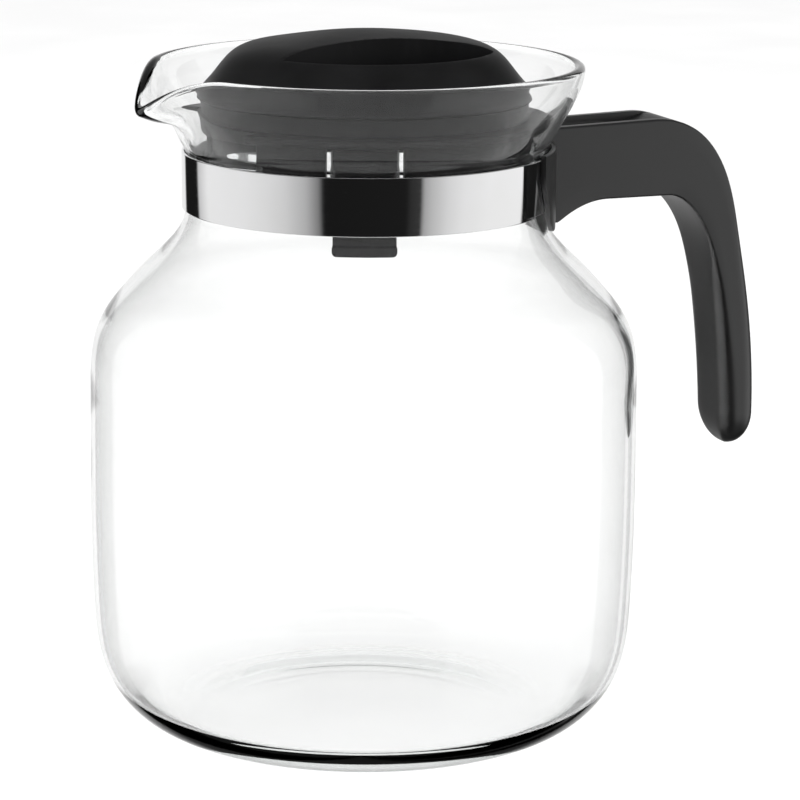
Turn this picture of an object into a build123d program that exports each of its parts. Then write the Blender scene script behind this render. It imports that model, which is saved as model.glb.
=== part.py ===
"""Glass coffee and tea jug with a steel collar, a hooked handle and a domed lid.

The jug stands on z = 0 with its axis on Z. The handle points along +X and the
spout along -X. Every size is in millimetres and every angle in degrees.
"""
import os
from math import sqrt

from build123d import *

# Glass jug
BODY_R = 72.7            # widest outside radius
BASE_R = 50.2            # flat ring that the jug stands on
PUNT_R = 43.0            # edge of the hollow under the base
PUNT_RISE = 1.3
NECK_R = 47.2            # outside radius of the neck
NECK_LOW_Z = 138.0       # the shoulder ends and the straight neck starts
NECK_TOP_Z = 153.0       # the bowl of the mouth starts here
WALL = 2.3
FLOOR_Z = 4.4
RIM_R = 57.2
RIM_Z = 175.1            # centre line of the fire-rounded rim bead
RIM_THICK = 3.0
SPOUT_HALF_ANGLE = 31.0
SPOUT_TIP_R = 61.6
SPOUT_TIP_Z = 164.9
SPOUT_ROUND = 3.0        # softens the crease along the middle of the spout
LOFT_HALF_ANGLE = 38.0   # part of the mouth that is lofted around the spout
SPOUT_SECTIONS = 9       # sections of that loft on each side of the middle
JOIN_TOL = 0.01          # the loft and the turned neck meet within this

# Steel collar, straps and clamp
COLLAR_IN_R = 47.4
STEEL = 0.7
COLLAR_LOW_Z = 138.7
COLLAR_TOP_Z = 153.7
COLLAR_END_ANGLE = 46.0
STRAP_IN_R = COLLAR_IN_R + STEEL + 0.05
STRAP_THICK = 0.6
STRAP_LOW_Z = COLLAR_LOW_Z + 0.9
STRAP_END_ANGLE = 52.6
EAR_GAP = 1.4            # distance between the two ears, filled by the hanger tab
EAR_END_X = 65.0
SCREW_X = 60.0
SCREW_Z = 146.6
SCREW_R = 1.95
HOLE_R = 2.1

# Handle
HANDLE_WIDTH = 19.5
ARM_TOP_Z = 159.2
ARM_LOW_Z = 138.4
GRIP_OUT_X = 112.3
GRIP_IN_X = 102.6
GRIP_END_Z = 66.4
GRIP_ROUND_Z = 77.0      # the grip's end starts to round off
BEND_X = 80.0            # the straight arm ends and the bend starts
ARM_SLOPE = 0.03
HOOK_X = 51.5            # the arm's underside hooks down between these two
HOOK_END_X = 66.0
HOOK_DROP = 5.6
EDGE_R = 1.6
SADDLE_IN_R = STRAP_IN_R + STRAP_THICK + 0.1
SADDLE_THICK = 1.3
SADDLE_HALF_ANGLE = 43.0
SADDLE_TOP_Z = 155.0
SADDLE_LOW_Z = 133.4
SLOT_HALF_WIDTH = 1.7    # slot between the arm's halves for the ears
CHANNEL_HALF_WIDTH = 6.9
CHANNEL_FLOOR_Z = 156.4
INSERT_R = 3.1
INSERT_DEPTH = 6.4
HEAD_R = 3.8
COUNTERBORE_R = 4.4
COUNTERBORE_DEPTH = 3.0

# Lid
LID_RIM_R = 43.4
LID_RIM_Z = 168.0
LID_TOP_Z = 184.7
LID_WALL = 2.2
POCKET_R = 33.5          # round side of the two finger pockets
POCKET_FLOOR_Z = 174.6
BAR_HALF_WIDTH = 12.5    # half width of the grip bar at its waist
BAR_END_HALF_WIDTH = 16.8
INSERT_COLLAR_R = 42.6
LEDGE_R = 48.6
LEDGE_TOP_Z = 163.6
LEDGE_THICK = 2.4
LEDGE_CHAMFER = 1.3      # clears the spout's throat when the lid is turned
SKIRT_R = 43.8
PLUG_WALL = 1.6          # ring that plugs into the dome from below
SKIRT_WALL = 1.8
SKIRT_LOW_Z = 148.0
WINDOW_HALF_ANGLE = 31.0
WINDOW_TOP_Z = 160.2
DISC_Z = 163.0
DISC_THICK = 1.6
LATCH_ANGLES = {"latch_front": -111.0, "latch_rear": 69.0}
LATCH_HALF_ANGLE = 10.6
LATCH_SLOT_ANGLE = 2.3
LATCH_OUT_R = 43.4
LATCH_WALL = 2.0
LATCH_TOP_Z = 160.4
LATCH_LOW_Z = 132.7
LATCH_TOE_R = 44.5
LATCH_TOE_HEIGHT = 2.6


def at(r, z):
    """A point in the XZ half plane."""
    return Vector(r, 0, z)


def smooth(points, start, end):
    """A smooth curve through points in the XZ plane, with its two end directions."""
    corners = [at(*p) if isinstance(p, tuple) else p for p in points]
    directions = [at(*start).normalized(), at(*end).normalized()]
    return Spline(*corners, tangents=directions, tangent_scalars=[1, 1])


def beside(curve, u, distance):
    """A point at a distance to the left of a curve's travel in the XZ plane."""
    along = curve % u
    return curve @ u + Vector(-along.Z, 0, along.X) * distance


def ring(r_in, r_out, z_low, z_high, start=0.0, sweep=360.0):
    """A round wall with a rectangular section, from one azimuth through a sweep."""
    corners = [at(r_in, z_low), at(r_out, z_low), at(r_out, z_high), at(r_in, z_high)]
    face = make_face(Polyline(*corners, close=True))
    return revolve(face, Axis.Z, sweep).rotate(Axis.Z, start)


def turned(edges):
    """A solid of revolution around Z from a closed outline in the XZ plane."""
    return revolve(make_face(edges), Axis.Z, 360)


def slab(x, y, z):
    """A box from three (low, high) pairs."""
    size = (x[1] - x[0], y[1] - y[0], z[1] - z[0])
    middle = ((x[0] + x[1]) / 2, (y[0] + y[1]) / 2, (z[0] + z[1]) / 2)
    return Pos(*middle) * Box(*size)


def rod(radius, y, x=SCREW_X, z=SCREW_Z):
    """A cylinder along Y, from a (low, high) pair."""
    return Pos(x, (y[0] + y[1]) / 2, z) * Rot(90, 0, 0) * Cylinder(radius, y[1] - y[0])


def wedge(half_angle, azimuth, z_low, z_high, reach=70.0):
    """A pie-shaped cutter around Z."""
    return ring(0, reach, z_low, z_high, azimuth - half_angle, 2 * half_angle)


# ---- glass -----------------------------------------------------------------

def jug_wall():
    """Outside and inside curves of the base, wall, shoulder and neck."""
    wall_points = [
        (BASE_R, 0), (60.9, 4.0), (68.8, 14.0), (72.0, 32.0), (BODY_R, 62.0), (72.5, 90.0),
        (69.8, 108.3), (64.4, 116.0), (57.9, 123.0), (51.8, 129.0), (NECK_R, NECK_LOW_Z),
    ]
    outside = smooth(wall_points, (1, 0.05), (0, 1))
    steps = 12
    inner_points = [beside(outside, 0.12 + 0.88 * i / steps, WALL) for i in range(steps + 1)]
    inside = smooth([(0, FLOOR_Z), (44.0, FLOOR_Z - 0.3)] + inner_points, (1, 0), (0, 1))
    return outside, inside


def spout_weight(turn):
    """1 in the middle of the spout, falling to 0 at its two shoulders."""
    if abs(turn) >= SPOUT_HALF_ANGLE:
        return 0.0
    edge = sqrt(SPOUT_HALF_ANGLE ** 2 + SPOUT_ROUND ** 2)
    middle = 1 - SPOUT_ROUND / edge
    return ((1 - sqrt(turn ** 2 + SPOUT_ROUND ** 2) / edge) / middle) ** 2


def mouth_edges(turn):
    """Outside, rim and inside of the mouth, at an angle from the spout's middle."""
    bowl = [
        (NECK_R, NECK_TOP_Z), (48.6, 156.2), (51.2, 161.0), (53.9, 165.8), (55.9, 170.0), (RIM_R, RIM_Z),
    ]
    spout = [
        (NECK_R, NECK_TOP_Z), (47.9, 156.2), (49.6, 160.0), (53.2, 162.5), (57.6, 163.5),
        (SPOUT_TIP_R, SPOUT_TIP_Z),
    ]
    weight = spout_weight(turn)
    points = []
    for (r0, z0), (r1, z1) in zip(bowl, spout):
        points.append(at(r0 + (r1 - r0) * weight, z0 + (z1 - z0) * weight))
    outside = smooth(points, (0, 1), (0.1 + 0.85 * weight, 1 - 0.65 * weight))
    steps = 6
    inner = []
    for i in range(steps, -1, -1):
        u = i / steps
        inner.append(beside(outside, u, WALL + (RIM_THICK - WALL) * u ** 3))
    lip = outside % 1
    inside = smooth(inner, (-lip.X, -lip.Z), (0, -1))
    crown = (outside @ 1 + inner[0]) * 0.5 + lip * (RIM_THICK / 2)
    rim = ThreePointArc(outside @ 1, crown, inner[0])
    return [outside, rim, inside]


def glass_jug():
    """The blown jug: body, neck, flared mouth with a rolled rim, and spout."""
    outside, inside = jug_wall()
    mouth = mouth_edges(LOFT_HALF_ANGLE)
    neck_in = NECK_R - WALL
    jug = turned([
        ThreePointArc(at(0, PUNT_RISE), at(PUNT_R * 0.6, PUNT_RISE * 0.7), at(PUNT_R, 0)),
        Line(at(PUNT_R, 0), at(BASE_R, 0)),
        outside,
        Line(outside @ 1, at(NECK_R, NECK_TOP_Z)),
        *mouth,
        Line(at(neck_in, NECK_TOP_Z), inside @ 1),
        inside,
        Line(at(0, FLOOR_Z), at(0, PUNT_RISE)),
    ])
    jug -= wedge(LOFT_HALF_ANGLE, 180, NECK_TOP_Z, RIM_Z + 10)
    foot = Line(at(neck_in, NECK_TOP_Z), at(NECK_R, NECK_TOP_Z))
    sections = []
    for i in range(-SPOUT_SECTIONS, SPOUT_SECTIONS + 1):
        turn = LOFT_HALF_ANGLE * i / SPOUT_SECTIONS
        section = make_face([*mouth_edges(turn), foot])
        sections.append(section.rotate(Axis.Z, 180 - turn))
    return jug.fuse(loft(sections), tol=JOIN_TOL)


# ---- steel collar and clamp --------------------------------------------------

def collar_band():
    """The bright strip around the neck, open on the handle's side."""
    sweep = 360 - 2 * COLLAR_END_ANGLE
    return ring(COLLAR_IN_R, COLLAR_IN_R + STEEL, COLLAR_LOW_Z, COLLAR_TOP_Z, COLLAR_END_ANGLE, sweep)


def strap(side):
    """One of the two straps that lap over the collar's ends and turn out as ears."""
    ear_in = EAR_GAP / 2
    ear_out = ear_in + STRAP_THICK
    end_angle = 1.3
    sweep = STRAP_END_ANGLE - end_angle
    start = end_angle if side > 0 else -STRAP_END_ANGLE
    out_r = STRAP_IN_R + STRAP_THICK
    hoop = ring(STRAP_IN_R, out_r, STRAP_LOW_Z, COLLAR_TOP_Z, start, sweep)
    y = (ear_in, ear_out) if side > 0 else (-ear_out, -ear_in)
    ear = slab((STRAP_IN_R + 0.15, EAR_END_X), y, (STRAP_LOW_Z + 1, COLLAR_TOP_Z - 1))
    return hoop + ear - rod(HOLE_R, (-5, 5))


def hanger_strip():
    """The steel tongue in the arm's top channel, with a tab between the ears."""
    tongue = slab((51.6, 71.0), (-6.4, 6.4), (CHANNEL_FLOOR_Z, CHANNEL_FLOOR_Z + 0.8))
    tip = tongue.edges().filter_by(Axis.Z).sort_by(Axis.X)[-2:]
    tongue = fillet(tip, 3.0)
    half = EAR_GAP / 2 - 0.05
    tab = slab((56.0, EAR_END_X), (-half, half), (141.2, CHANNEL_FLOOR_Z + 0.1))
    return tongue + tab - rod(HOLE_R, (-2, 2))


def clamp_screw():
    """Pan-head machine screw with a slot, put in from the far side of the arm."""
    seat = HANDLE_WIDTH / 2 - COUNTERBORE_DEPTH + 0.6
    head = rod(HEAD_R, (seat, seat + 2.0))
    rim = head.edges().filter_by(GeomType.CIRCLE).sort_by(Axis.Y)[-1]
    head = fillet(rim, 0.9)
    slot = slab((SCREW_X - 5, SCREW_X + 5), (seat + 1.2, seat + 3), (SCREW_Z - 0.5, SCREW_Z + 0.5))
    return head - slot + rod(SCREW_R, (-SLOT_HALF_WIDTH - INSERT_DEPTH + 0.6, seat))


def screw_washer():
    """Flat washer under the screw's head."""
    seat = HANDLE_WIDTH / 2 - COUNTERBORE_DEPTH
    return rod(HEAD_R + 0.4, (seat, seat + 0.6)) - rod(HOLE_R, (seat - 1, seat + 2))


def threaded_insert():
    """Brass bush moulded into the near half of the arm."""
    deep = -SLOT_HALF_WIDTH - INSERT_DEPTH
    bush = rod(INSERT_R, (deep, -SLOT_HALF_WIDTH))
    groove = rod(INSERT_R + 1, (deep + 2.6, deep + 3.6)) - rod(INSERT_R - 0.5, (deep, 0))
    return bush - groove - rod(SCREW_R + 0.03, (deep + 0.4, 1))


# ---- handle ----------------------------------------------------------------

def handle_outline():
    """Side view of the handle: arm, bend and hanging grip."""
    front_x = 44.0
    hook_z = ARM_LOW_Z - HOOK_DROP
    top_bend = at(BEND_X, ARM_TOP_Z)
    low_bend = at(BEND_X + 4, ARM_LOW_Z)
    out_low = at(GRIP_OUT_X, GRIP_ROUND_Z)
    in_low = at(GRIP_IN_X, GRIP_ROUND_Z)
    tip = at((GRIP_OUT_X + GRIP_IN_X) / 2 + 0.4, GRIP_END_Z)
    back = smooth(
        [top_bend, (92.3, 155.6), (99.9, 146.8), (105.8, 129.0), (110.2, 105.6), out_low],
        (1, ARM_SLOPE), (0, -1),
    )
    inside = smooth([in_low, (101.0, 98.0), (98.3, 117.5), (92.9, 132.4), low_bend], (-0.05, 1), (-1, 0))
    return [
        Line(at(front_x, ARM_TOP_Z - ARM_SLOPE * (BEND_X - front_x)), top_bend),
        back,
        smooth([out_low, tip], (0, -1), (-1, 0)),
        smooth([tip, in_low], (-1, 0), (-0.05, 1)),
        inside,
        Line(low_bend, at(HOOK_END_X, ARM_LOW_Z)),
        ThreePointArc(at(HOOK_END_X, ARM_LOW_Z), at(58.6, 136.9), at(HOOK_X + 1, hook_z + 0.6)),
        Line(at(HOOK_X + 1, hook_z + 0.6), at(HOOK_X - 1, hook_z)),
        Line(at(HOOK_X - 1, hook_z), at(front_x, hook_z)),
        Line(at(front_x, hook_z), at(front_x, ARM_TOP_Z - ARM_SLOPE * (BEND_X - front_x))),
    ]


def handle_bar():
    """Arm, bend and grip as one bar, rounded at the end of the grip."""
    half = HANDLE_WIDTH / 2
    bar = extrude(make_face(handle_outline()), half, dir=(0, 1, 0), both=True)
    long_edges = bar.edges().filter_by(lambda e: abs(e.center().Y) > half - 0.1 and e.center().X > 53)
    bar = fillet(long_edges, EDGE_R)
    shoulder_z = GRIP_END_Z + half
    top = 170.0
    front = [
        Line((0, -half, shoulder_z), (0, -half, top)),
        Line((0, -half, top), (0, half, top)),
        Line((0, half, top), (0, half, shoulder_z)),
        ThreePointArc((0, half, shoulder_z), (0, 0, GRIP_END_Z), (0, -half, shoulder_z)),
    ]
    return bar & extrude(make_face(front), 130, dir=(1, 0, 0))


def saddle():
    """The thin flange that spreads the handle's load over the straps."""
    flange = ring(
        SADDLE_IN_R, SADDLE_IN_R + SADDLE_THICK, SADDLE_LOW_Z, SADDLE_TOP_Z,
        -SADDLE_HALF_ANGLE, 2 * SADDLE_HALF_ANGLE,
    )
    reach = 34.5
    low_reach = 28.0
    outline = [
        (0, -reach, 160), (0, reach, 160), (0, reach, 152), (0, low_reach, SADDLE_LOW_Z),
        (0, -low_reach, SADDLE_LOW_Z), (0, -reach, 152),
    ]
    shield = extrude(make_face(Polyline(*outline, close=True)), 60, dir=(1, 0, 0))
    corners = shield.edges().filter_by(Axis.X).sort_by(Axis.Z)[:2]
    return flange & fillet(corners, 7.0)


def neck_clearance():
    """The space of the neck, the straps and the flare of the mouth."""
    outline = [
        at(0, 120), at(SADDLE_IN_R, 120), at(SADDLE_IN_R, SADDLE_TOP_Z), at(54.2, 164.5), at(0, 164.5),
    ]
    return turned([Polyline(*outline, close=True)])


def handle_body():
    """Moulded handle with its saddle, top channel, ear slot and screw seats."""
    body = handle_bar() - neck_clearance() + saddle()
    channel = [
        Line(at(40, CHANNEL_FLOOR_Z), at(72, CHANNEL_FLOOR_Z)),
        ThreePointArc(at(72, CHANNEL_FLOOR_Z), at(79.5, 157.2), at(86, 160)),
        Line(at(86, 160), at(40, 160)),
        Line(at(40, 160), at(40, CHANNEL_FLOOR_Z)),
    ]
    body -= extrude(make_face(channel), CHANNEL_HALF_WIDTH, dir=(0, 1, 0), both=True)
    ear_room = slab(
        (40, EAR_END_X + 0.6), (-SLOT_HALF_WIDTH, SLOT_HALF_WIDTH), (STRAP_LOW_Z + 0.8, COLLAR_TOP_Z - 0.8)
    )
    tab_room = slab((55.8, EAR_END_X + 0.2), (-0.8, 0.8), (150, CHANNEL_FLOOR_Z + 1))
    half = HANDLE_WIDTH / 2
    head_room = rod(COUNTERBORE_R, (half - COUNTERBORE_DEPTH, half + 1))
    insert_room = rod(INSERT_R, (-SLOT_HALF_WIDTH - INSERT_DEPTH, 0))
    return body - ear_room - tab_room - head_room - rod(HOLE_R, (0, half)) - insert_room


# ---- lid -------------------------------------------------------------------

def dome_edges(shrink):
    """Outline of the lid's dome, drawn in by a distance."""
    dome = smooth(
        [(LID_RIM_R, LID_RIM_Z + 0.6), (41.1, 172.2), (35.2, 179.0), (22.0, 183.0), (0, LID_TOP_Z)],
        (-0.1, 1), (-1, 0),
    )
    if shrink:
        steps = 8
        points = [beside(dome, i / steps, shrink) for i in range(steps + 1)]
        points[0] = at(points[0].X, LID_RIM_Z)
        points[-1] = at(0, LID_TOP_Z - shrink)
        dome = smooth(points, (-0.1, 1), (-1, 0))
    else:
        dome = [Line(at(LID_RIM_R - 0.6, LID_RIM_Z), at(LID_RIM_R, LID_RIM_Z + 0.6)), dome]
    return dome


def finger_pocket(side, grow):
    """Room of one finger pocket, grown all round by a wall's thickness."""
    r = POCKET_R + grow
    waist = BAR_HALF_WIDTH - grow
    end_y = BAR_END_HALF_WIDTH - grow
    end_x = sqrt(r * r - end_y * end_y)
    outline = [
        ThreePointArc((-end_x, end_y), (0, waist), (end_x, end_y)),
        ThreePointArc((end_x, end_y), (0, r), (-end_x, end_y)),
    ]
    room = Pos(0, 0, POCKET_FLOOR_Z - grow) * extrude(make_face(outline), 20)
    if side < 0:
        room = room.rotate(Axis.Z, 180)
    return room


def lid_cap():
    """Domed cover with a grip bar between two finger pockets, hollow beneath."""
    outer = dome_edges(0)
    inner = dome_edges(LID_WALL)
    shell = turned([
        *outer,
        Line(at(0, LID_TOP_Z), at(0, LID_RIM_Z)),
        Line(at(0, LID_RIM_Z), at(LID_RIM_R - 0.6, LID_RIM_Z)),
    ])
    hollow = turned([
        inner,
        Line(at(0, LID_TOP_Z - LID_WALL), at(0, LID_RIM_Z - 1)),
        Line(at(0, LID_RIM_Z - 1), at((inner @ 0).X, LID_RIM_Z - 1)),
        Line(at((inner @ 0).X, LID_RIM_Z - 1), inner @ 0),
    ])
    for side in (1, -1):
        pocket = finger_pocket(side, 0)
        low = pocket.edges().group_by(Axis.Z)[0]
        shell -= fillet(low, 3.0)
        hollow -= finger_pocket(side, LID_WALL)
    return shell - hollow


def lid_insert():
    """Ring below the dome: collar, seat ledge and skirt with a pouring window."""
    inner_r = INSERT_COLLAR_R - LID_WALL
    plug = ring(inner_r - PLUG_WALL, inner_r - 0.5, LEDGE_TOP_Z, LID_RIM_Z + 1.4)
    skirt = ring(SKIRT_R - SKIRT_WALL, SKIRT_R, SKIRT_LOW_Z, LEDGE_TOP_Z)
    body = ring(inner_r, INSERT_COLLAR_R, LEDGE_TOP_Z - 1, LID_RIM_Z - 0.05)
    low = LEDGE_TOP_Z - LEDGE_THICK
    ledge = turned([Polyline(
        at(inner_r - PLUG_WALL, low), at(LEDGE_R - LEDGE_CHAMFER, low),
        at(LEDGE_R, low + LEDGE_CHAMFER),
        at(LEDGE_R, LEDGE_TOP_Z - 0.5), at(LEDGE_R - 0.5, LEDGE_TOP_Z), at(inner_r - PLUG_WALL, LEDGE_TOP_Z),
        close=True,
    )])
    lip = ring(inner_r - PLUG_WALL - 2.4, inner_r, low, DISC_Z - 0.4)
    gate = wedge(WINDOW_HALF_ANGLE, 180, low - 1, LEDGE_TOP_Z + 0.01) - ring(0, SKIRT_R, low - 2, LEDGE_TOP_Z + 1)
    body = body + plug + skirt + lip + (ledge - gate)
    body -= wedge(WINDOW_HALF_ANGLE, 180, SKIRT_LOW_Z - 1, WINDOW_TOP_Z)
    for azimuth in LATCH_ANGLES.values():
        half = LATCH_HALF_ANGLE + LATCH_SLOT_ANGLE
        body -= wedge(half, azimuth, SKIRT_LOW_Z - 1, LATCH_TOP_Z + 0.4)
    return body


def lid_disc():
    """Round closing plate inside the lid, with a stiffening boss."""
    radius = INSERT_COLLAR_R - LID_WALL - PLUG_WALL - 0.4
    plate = Pos(0, 0, DISC_Z + DISC_THICK / 2) * Cylinder(radius, DISC_THICK)
    boss = ring(6.0, 8.0, DISC_Z + DISC_THICK - 0.1, DISC_Z + DISC_THICK + 3)
    rib = ring(radius - 1.4, radius, DISC_Z + DISC_THICK - 0.1, DISC_Z + DISC_THICK + 2)
    return plate + boss + rib


def latch(azimuth):
    """Spring tongue that runs down inside the neck and ends in a small toe."""
    sweep = 2 * LATCH_HALF_ANGLE
    start = azimuth - LATCH_HALF_ANGLE
    blade = ring(LATCH_OUT_R - LATCH_WALL, LATCH_OUT_R, LATCH_LOW_Z, LATCH_TOP_Z, start, sweep)
    toe = ring(LATCH_OUT_R - 0.5, LATCH_TOE_R, LATCH_LOW_Z, LATCH_LOW_Z + LATCH_TOE_HEIGHT, start, sweep)
    return blade + toe


def main():
    os.makedirs("parts", exist_ok=True)
    nodes = {
        "glass_jug": glass_jug(),
        "collar_band": collar_band(),
        "strap_near": strap(-1),
        "strap_far": strap(1),
        "hanger_strip": hanger_strip(),
        "clamp_screw": clamp_screw(),
        "screw_washer": screw_washer(),
        "threaded_insert": threaded_insert(),
        "handle_body": handle_body(),
        "lid_cap": lid_cap(),
        "lid_insert": lid_insert(),
        "lid_disc": lid_disc(),
    }
    for name, azimuth in LATCH_ANGLES.items():
        nodes[name] = latch(azimuth)
    for name, solid in nodes.items():
        export_step(solid, f"parts/{name}.step")


main()
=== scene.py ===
"""Looks of a glass coffee jug: blown glass, polished collar, satin black plastic.

Lengths in the outlines are millimetres, turned into metres where a mesh is made.
The jug's axis is Z, the handle points along +X and the spout along -X.
"""
import math

import bmesh
import bpy
import numpy as np
from mathutils import Matrix, Vector


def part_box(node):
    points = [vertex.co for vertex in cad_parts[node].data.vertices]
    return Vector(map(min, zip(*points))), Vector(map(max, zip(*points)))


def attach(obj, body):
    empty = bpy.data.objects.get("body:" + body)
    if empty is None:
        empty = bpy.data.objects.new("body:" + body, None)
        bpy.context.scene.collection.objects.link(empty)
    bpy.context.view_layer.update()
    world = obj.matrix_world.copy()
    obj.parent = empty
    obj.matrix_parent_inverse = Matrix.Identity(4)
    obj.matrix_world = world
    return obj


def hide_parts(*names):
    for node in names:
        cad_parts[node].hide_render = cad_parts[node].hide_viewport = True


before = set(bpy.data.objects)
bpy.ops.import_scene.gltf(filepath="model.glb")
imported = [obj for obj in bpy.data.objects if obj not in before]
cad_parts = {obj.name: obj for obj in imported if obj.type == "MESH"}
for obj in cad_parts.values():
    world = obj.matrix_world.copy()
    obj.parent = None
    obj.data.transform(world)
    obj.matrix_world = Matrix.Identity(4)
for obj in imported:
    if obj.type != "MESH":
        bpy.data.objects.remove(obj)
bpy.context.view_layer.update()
MM = 0.001
TURN = 2 * math.pi

# Sizes taken from the frame
BODY_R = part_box("glass_jug")[1].y / MM
COLLAR_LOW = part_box("collar_band")[0].z / MM
COLLAR_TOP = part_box("collar_band")[1].z / MM
COLLAR_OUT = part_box("collar_band")[1].y / MM
GRIP_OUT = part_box("handle_body")[1].x / MM
STRIP_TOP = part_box("hanger_strip")[1].z / MM

# Glass
BASE_R = 50.2
PUNT_R = 43.0                                      # edge of the hollow under the base
PUNT_RISE = 1.3
NECK_R = 47.2
SHOULDER_Z = 138.0
MOUTH_Z = 153.0
WALL = 2.3
RIM_R = 57.2
RIM_Z = 175.1
RIM_THICK = 3.0
FLOOR_Z = 4.4
SPOUT_TIP = (61.6, 164.9)
SPOUT_HALF = 31.0                                  # degrees
SPOUT_ROUND = 3.0                                  # degrees, softens the middle crease

# Steel
STEEL = 0.7
COLLAR_END = math.radians(46.0)                    # half of the collar's gap at the handle
STRAP_IN = COLLAR_OUT + 0.05
STRAP_THICK = 0.6
STRAP_LOW = COLLAR_LOW + 0.9
STRAP_START = math.radians(1.3)                    # from the handle's middle
STRAP_END = math.radians(52.6)
SCREW_X = 60.0
SCREW_Z = 146.6
HOLE_R = 2.1
EAR_END = 65.0
EAR_FACES = (0.7, 1.3)                             # the ear's two sides, from the middle

# Handle
HANDLE_HALF = 9.75
ARM_START_X = 52.6
ARM_TOP = 159.2
ARM_LOW = 138.4
ARM_SLOPE = 0.03
BEND_X = 80.0                                      # the straight arm ends here on top
LOW_BEND_X = 84.0                                  # and here underneath
HOOK_X = 51.5                                      # the underside hooks down between these two
HOOK_END_X = 66.0
HOOK_DROP = 5.6
GRIP_IN = 102.6
GRIP_ROUND = 77.0                                  # the grip's end starts to round off
GRIP_END = 66.4
CHANNEL_HALF = 6.9
CHANNEL_FLOOR = STRIP_TOP - 0.8                    # the steel strip lies on it
CHANNEL_RISE_X = 72.0                              # the channel's floor rises from here
CHANNEL_END_X = 87.0
SADDLE_R = COLLAR_OUT + 0.75
SADDLE_THICK = 1.3
SADDLE_TOP = 155.0
SADDLE_LOW = 133.4
SADDLE_END = 43.0                                  # degrees
SEAT_R = 4.4                                       # counterbore of the screw's head
SEAT_DEPTH = 3.0

# Latches
LATCH_HALF = math.radians(10.6)
LATCH_IN = 41.4
LATCH_OUT = 43.4
TOE_OUT = 44.5
TOE_HEIGHT = 2.6

# Camera and studio
HEADING = Vector((0.3584, 0.9336, 0))              # the way that the camera faces
FLOOR_DROP = 0.25                                  # keeps the floor apart from the base
SCREEN_R = 1200
SCREEN_LOW = -1200
SCREEN_HIGH = 1500


# ---- curves and meshes ---------------------------------------------------------

def curve(points, start, end, count):
    """Points along a smooth curve through the given ones, and its directions there."""
    p = np.array(points, float)
    span = np.linalg.norm(np.diff(p, axis=0), axis=1)
    t = np.concatenate([[0], np.cumsum(span)])
    n = len(p)
    system = np.eye(n)
    slopes = np.zeros((n, 2))
    slopes[0] = np.array(start) / np.linalg.norm(start)
    slopes[-1] = np.array(end) / np.linalg.norm(end)
    for i in range(1, n - 1):
        before, after = span[i - 1], span[i]
        system[i, i - 1:i + 2] = after, 2 * (before + after), before
        slopes[i] = 3 * (after * (p[i] - p[i - 1]) / before + before * (p[i + 1] - p[i]) / after)
    slopes = np.linalg.solve(system, slopes)
    at = np.linspace(0, t[-1], count)
    k = np.clip(np.searchsorted(t, at, side="right") - 1, 0, n - 2)
    h = span[k][:, None]
    s = (at - t[k])[:, None] / h
    a, b, m, w = p[k], p[k + 1], slopes[k] * h, slopes[k + 1] * h
    place = (2 * s**3 - 3 * s**2 + 1) * a + (s**3 - 2 * s**2 + s) * m
    place += (3 * s**2 - 2 * s**3) * b + (s**3 - s**2) * w
    along = (6 * s**2 - 6 * s) * (a - b) + (3 * s**2 - 4 * s + 1) * m + (3 * s**2 - 2 * s) * w
    return place, along / np.linalg.norm(along, axis=1)[:, None]


def beside(place, along, distance):
    """The same curve moved sideways, to the left of its travel."""
    return place + np.stack([-along[:, 1], along[:, 0]], 1) * np.reshape(distance, (-1, 1))


def piece(name, points, faces, material, sharp=None):
    """A smooth-shaded mesh object from points in millimetres."""
    mesh = bpy.data.meshes.new(name)
    mesh.from_pydata([tuple(float(c) * MM for c in p) for p in points], [], faces)
    mesh.validate()
    mesh.shade_smooth()
    if sharp:
        mesh.set_sharp_from_angle(angle=math.radians(sharp))
    mesh.materials.append(material)
    made = bpy.data.objects.new(name, mesh)
    bpy.context.collection.objects.link(made)
    return made


def add(to, points, faces):
    """Adds more points and faces, in millimetres, to a piece."""
    more = bpy.data.meshes.new("more")
    more.from_pydata([tuple(float(c) * MM for c in p) for p in points], [], faces)
    more.shade_smooth()
    both = bmesh.new()
    both.from_mesh(to.data)
    both.from_mesh(more)
    bmesh.ops.recalc_face_normals(both, faces=both.faces[:])
    both.to_mesh(to.data)
    both.free()
    bpy.data.meshes.remove(more)
    to.data.set_sharp_from_angle(angle=math.radians(38))


def grid_faces(rows, columns, wrap_rows, wrap_columns):
    """Quads of a grid of points, row by row."""
    faces = []
    for i in range(rows if wrap_rows else rows - 1):
        for j in range(columns if wrap_columns else columns - 1):
            a, b = i * columns, (i + 1) % rows * columns
            c, d = j, (j + 1) % columns
            faces.append((a + c, a + d, b + d, b + c))
    return faces


def swept_faces(count, size, whole=False):
    """Faces of a section carried through a number of places, capped unless it goes all round."""
    faces = [f[::-1] for f in grid_faces(count, size, whole, True)]
    if not whole:
        faces.append(tuple(range(size)))
        faces.append(tuple((count - 1) * size + i for i in range(size))[::-1])
    return faces


def turned(name, section, material, start=0.0, sweep=TURN, steps=256, sharp=35):
    """A closed (r, z) section turned about Z, capped where it doesn't go all round."""
    whole = sweep > TURN - 1e-6
    count = steps if whole else steps + 1
    points = []
    for i in range(count):
        angle = start + sweep * i / steps
        points += [(r * math.cos(angle), r * math.sin(angle), z) for r, z in section]
    return piece(name, points, swept_faces(count, len(section), whole), material, sharp)


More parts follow.
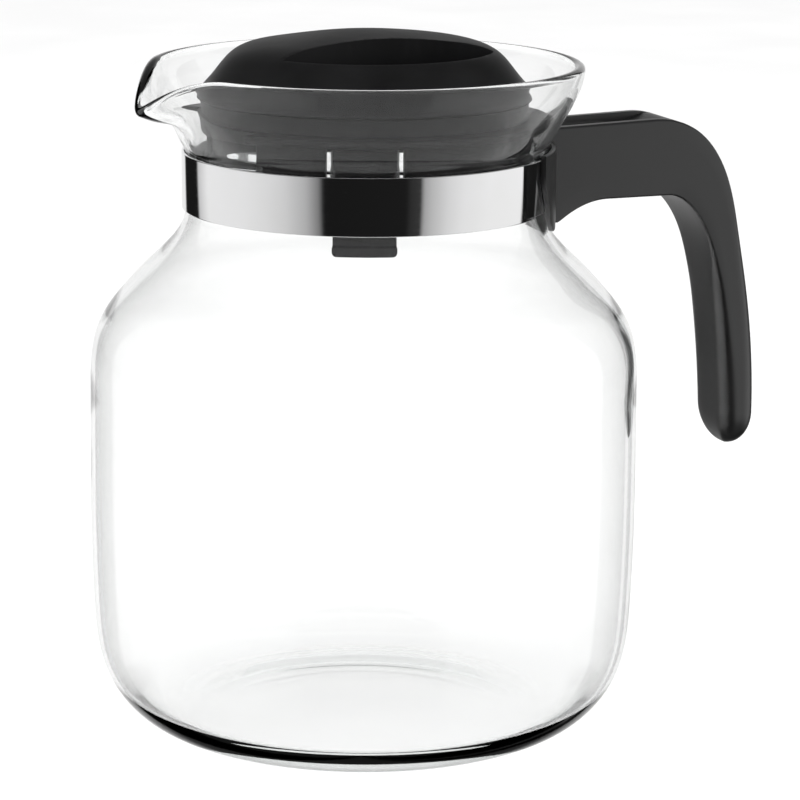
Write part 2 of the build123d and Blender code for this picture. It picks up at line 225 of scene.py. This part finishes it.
def rounded(corners, radii, steps=4):
    """A closed outline with round corners, from its corner points."""
    outline = []
    count = len(corners)
    for i, (corner, radius) in enumerate(zip(corners, radii)):
        here = Vector(corner)
        back = (Vector(corners[i - 1]) - here).normalized()
        ahead = (Vector(corners[(i + 1) % count]) - here).normalized()
        if radius <= 0:
            outline.append(tuple(here))
            continue
        half = back.angle(ahead) / 2
        reach = radius / math.tan(half)
        a, b = here + back * reach, here + ahead * reach
        middle = here + (back + ahead).normalized() * (radius / math.sin(half))
        first, last = a - middle, b - middle
        for k in range(steps + 1):
            u = k / steps
            arm = (first * (1 - u) + last * u).normalized() * radius
            outline.append(tuple(middle + arm))
    return outline


# ---- materials -----------------------------------------------------------------

class Nodes:
    """A material's node tree, with short calls for what these materials need."""

    def __init__(self, name):
        self.material = bpy.data.materials.new(name)
        self.material.use_nodes = True
        self.tree = self.material.node_tree
        self.shader = self.tree.nodes["Principled BSDF"]
        self.output = self.tree.nodes["Material Output"]
        place = self.tree.nodes.new("ShaderNodeTexCoord")
        self.place = place.outputs["Object"]

    def link(self, a, b):
        self.tree.links.new(a, b)

    def noise(self, scale, detail=3.0, stretch=(1, 1, 1)):
        """Noise with a scale in features per metre, and a stretch along each axis."""
        mapping = self.tree.nodes.new("ShaderNodeMapping")
        mapping.inputs["Scale"].default_value = stretch
        texture = self.tree.nodes.new("ShaderNodeTexNoise")
        texture.inputs["Scale"].default_value = scale
        texture.inputs["Detail"].default_value = detail
        self.link(self.place, mapping.inputs["Vector"])
        self.link(mapping.outputs["Vector"], texture.inputs["Vector"])
        return texture.outputs["Fac"]

    def between(self, value, low, high):
        """Maps the middle of a noise to a range."""
        node = self.tree.nodes.new("ShaderNodeMapRange")
        node.inputs["From Min"].default_value = 0.3
        node.inputs["From Max"].default_value = 0.7
        node.inputs["To Min"].default_value = low
        node.inputs["To Max"].default_value = high
        self.link(value, node.inputs["Value"])
        return node.outputs["Result"]

    def ramp(self, value, low, high):
        """Two colours mixed by a noise."""
        node = self.tree.nodes.new("ShaderNodeValToRGB")
        node.color_ramp.elements[0].position = 0.35
        node.color_ramp.elements[0].color = (*low, 1)
        node.color_ramp.elements[1].position = 0.65
        node.color_ramp.elements[1].color = (*high, 1)
        self.link(value, node.inputs["Fac"])
        return node.outputs["Color"]

    def bump(self, height, distance, strength=1.0, under=None):
        """A bump of a real height in metres, on top of another one."""
        node = self.tree.nodes.new("ShaderNodeBump")
        node.inputs["Strength"].default_value = strength
        node.inputs["Distance"].default_value = distance
        self.link(height, node.inputs["Height"])
        if under:
            self.link(under, node.inputs["Normal"])
        return node.outputs["Normal"]

    def set(self, **values):
        for name, value in values.items():
            self.shader.inputs[name.replace("_", " ")].default_value = value


def glass_material():
    """Clear borosilicate glass, a little wavy from blowing, grey where it is thick, with painted shade
    greying its edges where they are seen at a slant.
    """
    n = Nodes("blown_glass")
    n.set(IOR=1.473, Transmission_Weight=1.0, Specular_IOR_Level=0.24)
    wave = n.bump(n.noise(12, 1.0), 0.0003, 0.22)
    n.link(n.bump(n.noise(50, 1.0, (1, 1, 0.35)), 0.00003, 0.2, wave), n.shader.inputs["Normal"])
    # Painted shade: the colour turns grey where the glass is seen at a slant, standing in for the dark
    # surroundings seen in and through its edges.
    facing = n.tree.nodes.new("ShaderNodeLayerWeight")
    facing.inputs["Blend"].default_value = 0.5
    edge = n.tree.nodes.new("ShaderNodeValToRGB")
    edge.color_ramp.elements[0].color = (0.995, 0.997, 0.996, 1)
    edge.color_ramp.elements[1].color = (0.70, 0.71, 0.71, 1)
    for at, grey in ((0.40, 0.975), (0.60, 0.92), (0.80, 0.84)):
        edge.color_ramp.elements.new(at).color = (grey, grey * 1.002, grey * 1.001, 1)
    n.link(facing.outputs["Facing"], edge.inputs["Fac"])
    n.link(edge.outputs["Color"], n.shader.inputs["Base Color"])
    haze = n.between(n.noise(30, 2.0), 0.0, 0.006)
    n.link(haze, n.shader.inputs["Roughness"])
    absorb = n.tree.nodes.new("ShaderNodeVolumeAbsorption")
    absorb.inputs["Color"].default_value = (0.55, 0.60, 0.58, 1)
    absorb.inputs["Density"].default_value = 9.0
    n.link(absorb.outputs["Volume"], n.output.inputs["Volume"])
    return n.material


def steel_material(name, grey, low, high, streak):
    """Steel with fine lines round the neck and a slightly uneven polish."""
    n = Nodes(name)
    n.set(Metallic=1.0)
    lines = n.noise(220, 4.0, (0.12, 0.12, 12))
    cloud = n.noise(55, 3.0)
    n.link(n.ramp(cloud, [grey * 0.97] * 3, [grey, grey, grey * 1.01]), n.shader.inputs["Base Color"])
    n.link(n.between(lines, low, high), n.shader.inputs["Roughness"])
    n.link(n.bump(lines, streak), n.shader.inputs["Normal"])
    return n.material


def plastic_material(name, dark, light, low, high, grain, height, level):
    """Moulded black plastic with a fine spark-eroded grain."""
    n = Nodes(name)
    n.set(Specular_IOR_Level=level)
    fine = n.noise(grain, 2.0)
    worn = n.noise(45, 4.0)
    n.link(n.ramp(worn, dark, light), n.shader.inputs["Base Color"])
    n.link(n.between(worn, low, high), n.shader.inputs["Roughness"])
    flow = n.bump(n.noise(60, 2.0), 0.00012, 0.25)
    n.link(n.bump(fine, height, 0.6, flow), n.shader.inputs["Normal"])
    return n.material


def brass_material():
    """Turned brass with knurl-like lines."""
    n = Nodes("turned_brass")
    n.set(Metallic=1.0)
    lines = n.noise(900, 3.0, (1, 0.1, 1))
    n.link(n.ramp(lines, (0.55, 0.38, 0.14), (0.74, 0.56, 0.26)), n.shader.inputs["Base Color"])
    n.link(n.between(lines, 0.22, 0.42), n.shader.inputs["Roughness"])
    n.link(n.bump(lines, 0.00004), n.shader.inputs["Normal"])
    return n.material


GLASS = glass_material()
MIRROR = steel_material("polished_steel", 0.86, 0.03, 0.09, 0.0000015)
MACHINED = steel_material("machined_steel", 0.62, 0.22, 0.40, 0.00001)
BRASS = brass_material()
HANDLE = plastic_material(
    "handle_plastic_satin", (0.006, 0.006, 0.0062), (0.009, 0.009, 0.0092), 0.34, 0.42, 2600, 0.00002, 0.95,
)
LID = plastic_material(
    "lid_plastic_grained", (0.005, 0.005, 0.0053), (0.0085, 0.0085, 0.009), 0.46, 0.58, 1500, 0.00004, 0.24,
)


# ---- glass ---------------------------------------------------------------------

def spout_weight(degrees):
    """1 in the middle of the spout, falling to 0 at its two shoulders."""
    if abs(degrees) >= SPOUT_HALF:
        return 0.0
    edge = math.hypot(SPOUT_HALF, SPOUT_ROUND)
    middle = 1 - SPOUT_ROUND / edge
    return ((1 - math.hypot(degrees, SPOUT_ROUND) / edge) / middle) ** 2


def mouth(degrees):
    """Outside, rim and inside of the mouth at an angle from the spout's middle."""
    low = (NECK_R, MOUTH_Z)
    bowl = np.array([low, (48.6, 156.2), (51.2, 161), (53.9, 165.8), (55.9, 170), (RIM_R, RIM_Z)])
    spout = np.array([low, (47.9, 156.2), (49.6, 160), (53.2, 162.5), (57.6, 163.5), SPOUT_TIP])
    weight = spout_weight(degrees)
    lean = (0.1 + 0.85 * weight, 1 - 0.65 * weight)
    outside, along = curve(bowl + (spout - bowl) * weight, (0, 1), lean, 34)
    u = np.linspace(0, 1, 34)
    inside = beside(outside, along, WALL + (RIM_THICK - WALL) * u**3)
    middle = (outside[-1] + inside[-1]) / 2
    arm = outside[-1] - middle
    ahead = along[-1] * np.linalg.norm(arm)
    rim = [middle + arm * math.cos(a) + ahead * math.sin(a) for a in np.linspace(0, math.pi, 13)[1:-1]]
    return outside[1:], rim, inside[::-1]


def wall():
    """Outside and inside of the base, wall and shoulder."""
    outline = [
        (BASE_R, 0), (60.9, 4), (68.8, 14), (72, 32), (BODY_R - 0.01, 62), (72.5, 90), (69.8, 108.3),
        (64.4, 116), (57.9, 123), (51.8, 129), (NECK_R, SHOULDER_Z),
    ]
    outside, along = curve(outline, (1, 0.05), (0, 1), 110)
    inner = beside(outside, along, WALL)[13::8]
    inside, _ = curve([(0, FLOOR_Z), (44, FLOOR_Z - 0.3), *inner], (1, 0), (0, 1), 110)
    return outside, inside


def glass_jug():
    """The blown jug as one closed skin, turned about Z with its mouth changing at the spout."""
    outside, inside = wall()
    across = np.linspace(0, 1, 12)
    punt = [(PUNT_R * u, PUNT_RISE * (1 - u**2)) for u in across[1:]]
    foot = [(PUNT_R + (BASE_R - PUNT_R) * u, 0) for u in (0.35, 0.7)]
    straight = MOUTH_Z - SHOULDER_Z
    neck = [(NECK_R, SHOULDER_Z + straight * u) for u in (0.25, 0.5, 0.75, 1)]
    back = [(NECK_R - WALL, MOUTH_Z - straight * u) for u in (0.25, 0.5, 0.75)]
    steps = 480
    points = []
    rows = 0
    for i in range(steps):
        azimuth = 360 * i / steps
        outer, rim, inner = mouth(180 - azimuth)
        profile = [*punt, *foot, *outside, *neck, *outer, *rim, *inner, *back, *inside[:0:-1]]
        rows = len(profile)
        turn = math.radians(azimuth)
        points += [(r * math.cos(turn), r * math.sin(turn), z) for r, z in profile]
    faces = [f[::-1] for f in grid_faces(steps, rows, True, False)]
    under, over = len(points), len(points) + 1
    points += [(0, 0, PUNT_RISE), (0, 0, FLOOR_Z)]
    for i in range(steps):
        a, b = i * rows, (i + 1) % steps * rows
        faces.append((under, b, a))
        faces.append((over, a + rows - 1, b + rows - 1))
    jug = piece("blown_jug", points, faces, GLASS)
    jug.visible_shadow = False
    jug.visible_diffuse = False
    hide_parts("glass_jug")
    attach(jug, "jug")


# ---- steel ---------------------------------------------------------------------

def collar():
    """The polished strip, with its long edges rolled over."""
    inner = COLLAR_OUT - STEEL
    section = rounded(
        [(inner, COLLAR_LOW), (COLLAR_OUT, COLLAR_LOW), (COLLAR_OUT, COLLAR_TOP), (inner, COLLAR_TOP)],
        [0.15, 0.3, 0.3, 0.15],
    )
    strip = turned("polished_collar", section, MIRROR, COLLAR_END, TURN - 2 * COLLAR_END, 360)
    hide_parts("collar_band")
    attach(strip, "jug")


def ear(y_low, y_high, x_low):
    """Points and faces of a flat plate with a round hole for the clamp screw."""
    count = 48
    low, high = COLLAR_LOW + 1.9, COLLAR_TOP - 1
    rim, hole = [], []
    for i in range(count):
        angle = TURN * i / count
        ahead = Vector((math.cos(angle), math.sin(angle)))
        reach_x = (EAR_END - SCREW_X if ahead.x > 0 else SCREW_X - x_low) / max(abs(ahead.x), 1e-6)
        reach_z = (high - SCREW_Z if ahead.y > 0 else SCREW_Z - low) / max(abs(ahead.y), 1e-6)
        rim.append(ahead * min(reach_x, reach_z))
        hole.append(ahead * HOLE_R)
    rows = [(rim, y_low), (rim, y_high), (hole, y_high), (hole, y_low)]
    points = [(SCREW_X + p.x, y, SCREW_Z + p.y) for loop, y in rows for p in loop]
    return points, [f[::-1] for f in grid_faces(4, count, True, True)]


def strap(node, side):
    """A strap that laps over the collar's end and turns out as an ear."""
    outer = STRAP_IN + STRAP_THICK
    section = rounded(
        [(STRAP_IN, STRAP_LOW), (outer, STRAP_LOW), (outer, COLLAR_TOP), (STRAP_IN, COLLAR_TOP)],
        [0.1, 0.2, 0.2, 0.1],
    )
    start = STRAP_START if side > 0 else -STRAP_END
    hoop = turned(node + "_polished", section, MIRROR, start, STRAP_END - STRAP_START, 90)
    y_low, y_high = sorted(side * y for y in EAR_FACES)
    points, faces = ear(y_low, y_high, STRAP_IN + 0.15)
    add(hoop, points, faces)
    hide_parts(node)
    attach(hoop, "jug")


# ---- handle --------------------------------------------------------------------

def clearance(z):
    """Radius that the handle keeps from the neck and the flare of the mouth."""
    return SADDLE_R + 0.1 + max(0.0, z - SADDLE_TOP) * 0.563


def handle_ribs():
    """Pairs of (x, z) points on the back and on the inside of arm, bend and grip."""
    ribs = []
    for u in np.linspace(0, 1, 31):
        x = ARM_START_X + (BEND_X - ARM_START_X) * u
        low_x = HOOK_X + (LOW_BEND_X - HOOK_X) * u
        drop = min(5.0 * (max(0.0, HOOK_END_X - low_x) / 13.5) ** 2, HOOK_DROP)
        ribs.append(((x, ARM_TOP - ARM_SLOPE * (BEND_X - x)), (low_x, ARM_LOW - drop)))
    back, _ = curve(
        [
            (BEND_X, ARM_TOP), (92.3, 155.6), (99.9, 146.8), (105.8, 129), (110.2, 105.6),
            (GRIP_OUT, GRIP_ROUND),
        ],
        (1, ARM_SLOPE), (0, -1), 61,
    )
    inside, _ = curve(
        [(LOW_BEND_X, ARM_LOW), (92.9, 132.4), (98.3, 117.5), (101, 98), (GRIP_IN, GRIP_ROUND)],
        (1, 0), (0.05, -1), 61,
    )
    ribs += [(tuple(b), tuple(i)) for b, i in zip(back[1:], inside[1:])]
    return ribs


def rib_outline(half_depth, half_width, corner, cut):
    """Outline of a rib as (out, across) pairs, with the channel's cut in its outer side."""
    side = min(CHANNEL_HALF, half_width - corner - 0.15)
    lip = min(0.25, cut / 2)
    outline = []
    for y, out in (
        (-side - 0.1, half_depth), (-side, half_depth - lip), (-side, half_depth - cut),
        (-side * 0.4, half_depth - cut), (side * 0.4, half_depth - cut),
        (side, half_depth - cut), (side, half_depth - lip), (side + 0.1, half_depth),
    ):
        outline.append((out, y))
    quarters = ((half_depth, 1, 0), (-half_depth, 1, 1), (-half_depth, -1, 2), (half_depth, -1, 3))
    for depth, hand, quarter in quarters:
        centre = (depth - math.copysign(corner, depth), hand * (half_width - corner))
        for k in range(9):
            angle = -math.pi / 2 * (quarter + k / 8)
            outline.append((centre[0] + corner * math.cos(angle), centre[1] - corner * math.sin(angle)))
        if quarter in (0, 2):
            for share in (0.5, 0.0, -0.5):
                out = math.copysign(half_depth - corner, depth) * share
                outline.append((out, hand * half_width))
        if quarter == 1:
            outline += [(-half_depth, (half_width - corner) * share) for share in (0.6, 0.2, -0.2, -0.6)]
    return outline


def ease(value, low, high):
    """0 below low, 1 above high, smooth between."""
    u = min(max((value - low) / (high - low), 0.0), 1.0)
    return u * u * (3 - 2 * u)


def handle_bar():
    """Points and faces of the arm, bend and grip."""
    points, rows = [], 0
    ribs = handle_ribs()
    tips = [math.sin(a) for a in np.linspace(0, math.pi / 2, 15)[1:]]
    last_back, last_inside = Vector(ribs[-1][0]), Vector(ribs[-1][1])
    for index in range(len(ribs) + len(tips)):
        shrink = 1.0
        if index < len(ribs):
            back, inside = ribs[index]
        else:
            v = tips[index - len(ribs)]
            shrink = math.sqrt(max(1 - v * v, 0.0009))
            drop = Vector((0.4 * v, -(GRIP_ROUND - GRIP_END) * v))
            middle = (last_back + last_inside) / 2
            back = middle + (last_back - middle) * shrink + drop
            inside = middle + (last_inside - middle) * shrink + drop
        back, inside = Vector(back), Vector(inside)
        middle, out = (back + inside) / 2, (back - inside)
        half_depth = out.length / 2
        out.normalize()
        half_width = HANDLE_HALF * shrink
        soft = ease(ARM_TOP - back.y, 2, 40)
        corner = min(0.7 + 3.0 * soft, half_depth * 0.92, half_width * 0.92)
        if shrink < 1:
            corner = min(half_depth, half_width) * (0.76 + 0.2 * (1 - shrink))
        floor = CHANNEL_FLOOR + 3.6 * (max(0.0, back.x - CHANNEL_RISE_X) / 14) ** 2
        cut = max(0.0, back.y - floor) if back.x < CHANNEL_END_X else 0.0
        outline = rib_outline(half_depth, half_width, corner, cut)
        rows = len(outline)
        rib = [(middle.x + out.x * o, y, middle.y + out.y * o) for o, y in outline]
        if index == 0:
            points += [(math.sqrt(clearance(z) ** 2 - y * y), y, z) for x, y, z in rib]
        points += rib
    count = len(points) // rows
    faces = grid_faces(count, rows, False, True)
    faces.append(tuple(range(rows))[::-1])
    faces.append(tuple((count - 1) * rows + i for i in range(rows)))
    return points, faces


def saddle():
    """Points and faces of the thin flange that lies over the straps."""
    points, rows = [], 0
    steps = 72
    outer = SADDLE_R + SADDLE_THICK
    for i in range(steps + 1):
        angle = math.radians(SADDLE_END * (2 * i / steps - 1))
        side = abs(SADDLE_R * math.sin(angle))
        low = SADDLE_LOW + 18.6 * (max(0.0, side - 23) / 11.3) ** 2.4
        near = min(0.45, 0.1 + 0.35 * (34 - side) / 2) if side > 32 else 0.45
        section = rounded(
            [(SADDLE_R, low), (outer, low), (outer, SADDLE_TOP), (SADDLE_R, SADDLE_TOP)],
            [0.1, near, near, 0.1],
        )
        rows = len(section)
        points += [(r * math.cos(angle), r * math.sin(angle), z) for r, z in section]
    return points, swept_faces(steps + 1, rows)


def handle():
    """The moulded handle, with the screw's seat cut into its far side."""
    bar = piece("moulded_handle", *handle_bar(), HANDLE, 38)
    outline = [
        (0.001, 0), (SEAT_R - 0.3, 0), (SEAT_R, 0.3), (SEAT_R, SEAT_DEPTH - 0.3),
        (SEAT_R + 0.35, SEAT_DEPTH + 0.05), (SEAT_R + 0.35, SEAT_DEPTH + 2), (0.001, SEAT_DEPTH + 2),
    ]
    seat = turned("screw_seat", outline, HANDLE, steps=64)
    place = Matrix.Translation((SCREW_X * MM, (HANDLE_HALF - SEAT_DEPTH) * MM, SCREW_Z * MM))
    seat.matrix_world = place @ Matrix.Rotation(-math.pi / 2, 4, "X")
    cut = bar.modifiers.new("screw_seat", "BOOLEAN")
    cut.operation = "DIFFERENCE"
    cut.solver = "EXACT"
    cut.object = seat
    bpy.context.view_layer.update()
    finished = bpy.data.meshes.new_from_object(bar.evaluated_get(bpy.context.evaluated_depsgraph_get()))
    bar.modifiers.clear()
    bar.data = finished
    bpy.data.objects.remove(seat)
    add(bar, *saddle())
    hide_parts("handle_body")
    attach(bar, "jug")


# ---- latches -------------------------------------------------------------------

def corner_rise(distance, radius):
    """How far a round corner stands back at a distance from its side."""
    if distance >= radius:
        return 0.0
    return radius - math.sqrt(max(radius**2 - (radius - distance) ** 2, 0.0))


def latch(node, azimuth):
    """A spring tongue with round lower corners and a toe along its low edge."""
    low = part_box(node)[0].z / MM
    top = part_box(node)[1].z / MM
    steps = 48
    points, rows = [], 0
    for i in range(steps + 1):
        angle = -LATCH_HALF * math.cos(math.pi * i / steps)
        side = max(LATCH_HALF - abs(angle), 0.0) * LATCH_OUT
        foot = low + corner_rise(side, 1.2)
        thin = corner_rise(side, 0.3)
        inner, outer, toe = LATCH_IN + thin, LATCH_OUT - thin, TOE_OUT - thin
        step = low + TOE_HEIGHT - thin
        section = rounded(
            [
                (inner, foot + thin), (toe, foot + thin), (toe, step),
                (outer, step + 0.5), (outer, top), (inner, top),
            ],
            [0.3, 0.35, 0.3, 0.3, 0.2, 0.2],
        )
        rows = len(section)
        turn = math.radians(azimuth) + angle
        points += [(r * math.cos(turn), r * math.sin(turn), z) for r, z in section]
    tongue = piece(node + "_tongue", points, swept_faces(steps + 1, rows), LID, 40)
    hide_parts(node)
    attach(tongue, node)


# ---- carried-over nodes --------------------------------------------------------

def soften(node, width, material):
    """A CAD node with its sharp edges rounded, and its material set."""
    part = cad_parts[node]
    for slot in part.material_slots:
        slot.material = material
    if width:
        weld = part.modifiers.new("weld", "WELD")
        weld.merge_threshold = 1e-6
        bevel = part.modifiers.new("edges", "BEVEL")
        bevel.width = width * MM
        bevel.segments = 2
        bevel.limit_method = "ANGLE"
        bevel.angle_limit = math.radians(40)
        bevel.harden_normals = True


# ---- room ----------------------------------------------------------------------

def look_from():
    """The camera at the height, distance and tilt of a table-top product picture."""
    data = bpy.data.cameras.new("camera")
    data.lens = 154.2
    data.sensor_width = 36
    data.shift_x = 0.0456
    data.clip_start, data.clip_end = 0.05, 30
    camera = bpy.data.objects.new("camera", data)
    bpy.context.collection.objects.link(camera)
    distance, height = 0.89, 0.2895
    tilt, roll = 0.2245, 0.0065
    ahead = HEADING * math.cos(tilt) + Vector((0, 0, -math.sin(tilt)))
    right = ahead.cross(Vector((0, 0, 1))).normalized()
    up = right.cross(ahead)
    across = right * math.cos(roll) + up * math.sin(roll)
    above = up * math.cos(roll) - right * math.sin(roll)
    turn = Matrix((across, above, -ahead)).transposed()
    place = Vector((0, 0, height)) - HEADING * distance
    camera.matrix_world = Matrix.Translation(place) @ turn.to_4x4()
    bpy.context.scene.camera = camera


def panel(name, centre, size, strength):
    """A soft light facing the jug."""
    data = bpy.data.lights.new(name, "AREA")
    data.shape = "RECTANGLE"
    data.size, data.size_y = size
    data.energy = strength
    light = bpy.data.objects.new(name, data)
    light.location = centre
    aim = Vector((0, 0, 0.1)) - Vector(centre)
    light.rotation_euler = aim.to_track_quat("-Z", "Y").to_euler()
    light.visible_camera = False
    light.visible_glossy = False
    light.visible_transmission = False
    bpy.context.collection.objects.link(light)


def studio_wall():
    """Bright screens with dark gaps, seen only in reflections."""
    n = Nodes("studio_screens")
    split = n.tree.nodes.new("ShaderNodeSeparateXYZ")
    n.link(n.place, split.inputs["Vector"])
    angle = n.tree.nodes.new("ShaderNodeMath")
    angle.operation = "ARCTAN2"
    n.link(split.outputs["X"], angle.inputs[0])
    n.link(split.outputs["Y"], angle.inputs[1])
    share = n.tree.nodes.new("ShaderNodeMapRange")
    share.inputs["From Min"].default_value = -math.pi
    share.inputs["From Max"].default_value = math.pi
    n.link(angle.outputs["Value"], share.inputs["Value"])
    screens = n.tree.nodes.new("ShaderNodeValToRGB")
    screens.color_ramp.interpolation = "LINEAR"
    # Brightness at each bearing, in degrees from the camera's side of the drum
    stops = [
        (-180, 0.9), (-153, 0.8), (-151, 0.02), (-145.5, 0.02), (-144, 0.7), (-141, 0.7),
        (-139.5, 0.01), (-115.5, 0.01), (-113.5, 0.98), (-82, 0.96), (-63, 0.88), (-52, 0.75),
        (-41, 0.54), (-36, 0.40), (-34, 0.04), (-28, 0.03), (-25, 0.012), (25, 0.01), (28, 0.22),
        (36, 0.48), (50, 0.70), (64, 0.81), (80, 0.88), (113, 0.93), (125, 0.62), (127, 0.01),
        (149, 0.01), (152, 0.9), (180, 0.9),
    ]
    ramp = screens.color_ramp.elements
    while len(ramp) > 1:
        ramp.remove(ramp[0])
    for i, (degrees, light) in enumerate(stops):
        stop = ramp[0] if i == 0 else ramp.new(degrees / 360 + 0.5)
        stop.position = degrees / 360 + 0.5
        stop.color = (light, light, light, 1)
    n.link(share.outputs["Result"], screens.inputs["Fac"])
    glow = n.tree.nodes.new("ShaderNodeEmission")
    n.link(screens.outputs["Color"], glow.inputs["Color"])
    level = n.tree.nodes.new("ShaderNodeMapRange")
    level.inputs["From Min"].default_value = SCREEN_LOW * MM
    level.inputs["From Max"].default_value = SCREEN_HIGH * MM
    n.link(split.outputs["Z"], level.inputs["Value"])
    height = n.tree.nodes.new("ShaderNodeValToRGB")
    height.color_ramp.elements[0].color = (0.10, 0.10, 0.10, 1)
    height.color_ramp.elements[1].color = (0.20, 0.20, 0.20, 1)
    for at, light in ((0.06, 0.12), (0.26, 1.0), (0.56, 1.0), (0.74, 0.32)):
        height.color_ramp.elements.new(at).color = (light, light, light, 1)
    n.link(level.outputs["Result"], height.inputs["Fac"])
    n.link(height.outputs["Color"], glow.inputs["Strength"])
    n.link(glow.outputs["Emission"], n.output.inputs["Surface"])
    steps = 180
    around = [TURN * i / steps for i in range(steps)]
    points = []
    for z in (SCREEN_LOW, 0, 700, SCREEN_HIGH):
        points += [(SCREEN_R * math.sin(a), SCREEN_R * math.cos(a), z) for a in around]
    faces = grid_faces(4, steps, False, True)
    faces += [tuple(range(steps)), tuple(range(3 * steps, 4 * steps))]
    screen = piece("studio_screens", points, faces, n.material)
    screen.rotation_euler = (0, 0, math.pi - math.atan2(HEADING.x, HEADING.y))
    screen.visible_camera = False
    screen.visible_diffuse = False
    screen.visible_transmission = False
    screen.visible_volume_scatter = False
    screen.visible_shadow = False


def room():
    """Pale floor and pale surroundings."""
    n = Nodes("pale_floor")
    n.set(Roughness=0.75, Specular_IOR_Level=0.2)
    n.link(n.ramp(n.noise(9, 3.0), (0.90, 0.90, 0.90), (0.93, 0.93, 0.93)), n.shader.inputs["Base Color"])
    n.link(n.bump(n.noise(700, 2.0), 0.00002), n.shader.inputs["Normal"])
    half = 6000
    corners = [(-half, -half), (half, -half), (half, half), (-half, half)]
    floor = piece("floor", [(x, y, -FLOOR_DROP) for x, y in corners], [(0, 1, 2, 3)], n.material)
    floor.visible_glossy = False
    world = bpy.data.worlds.new("surroundings")
    world.use_nodes = True
    back = world.node_tree.nodes["Background"]
    back.inputs["Color"].default_value = (1, 1, 1, 1)
    back.inputs["Strength"].default_value = 1.02
    bpy.context.scene.world = world
    panel("key_left", (-0.9, -0.5, 0.9), (0.8, 1.0), 4)
    panel("top", (0.1, -0.1, 1.3), (0.9, 0.9), 5)
    bpy.context.scene.view_settings.view_transform = "Standard"
    bpy.context.scene.view_settings.look = "None"
    bpy.context.scene.cycles.max_bounces = 32
    bpy.context.scene.cycles.transmission_bounces = 32
    bpy.context.scene.cycles.glossy_bounces = 12


glass_jug()
collar()
strap("strap_near", -1)
strap("strap_far", 1)
handle()
soften("hanger_strip", 0.12, MIRROR)
soften("clamp_screw", 0.12, MACHINED)
soften("screw_washer", 0.1, MACHINED)
soften("threaded_insert", 0, BRASS)
soften("lid_cap", 0.35, LID)
soften("lid_insert", 0.25, LID)
soften("lid_disc", 0.25, LID)
latch("latch_front", -111)
latch("latch_rear", 69)
look_from()
room()
studio_wall()
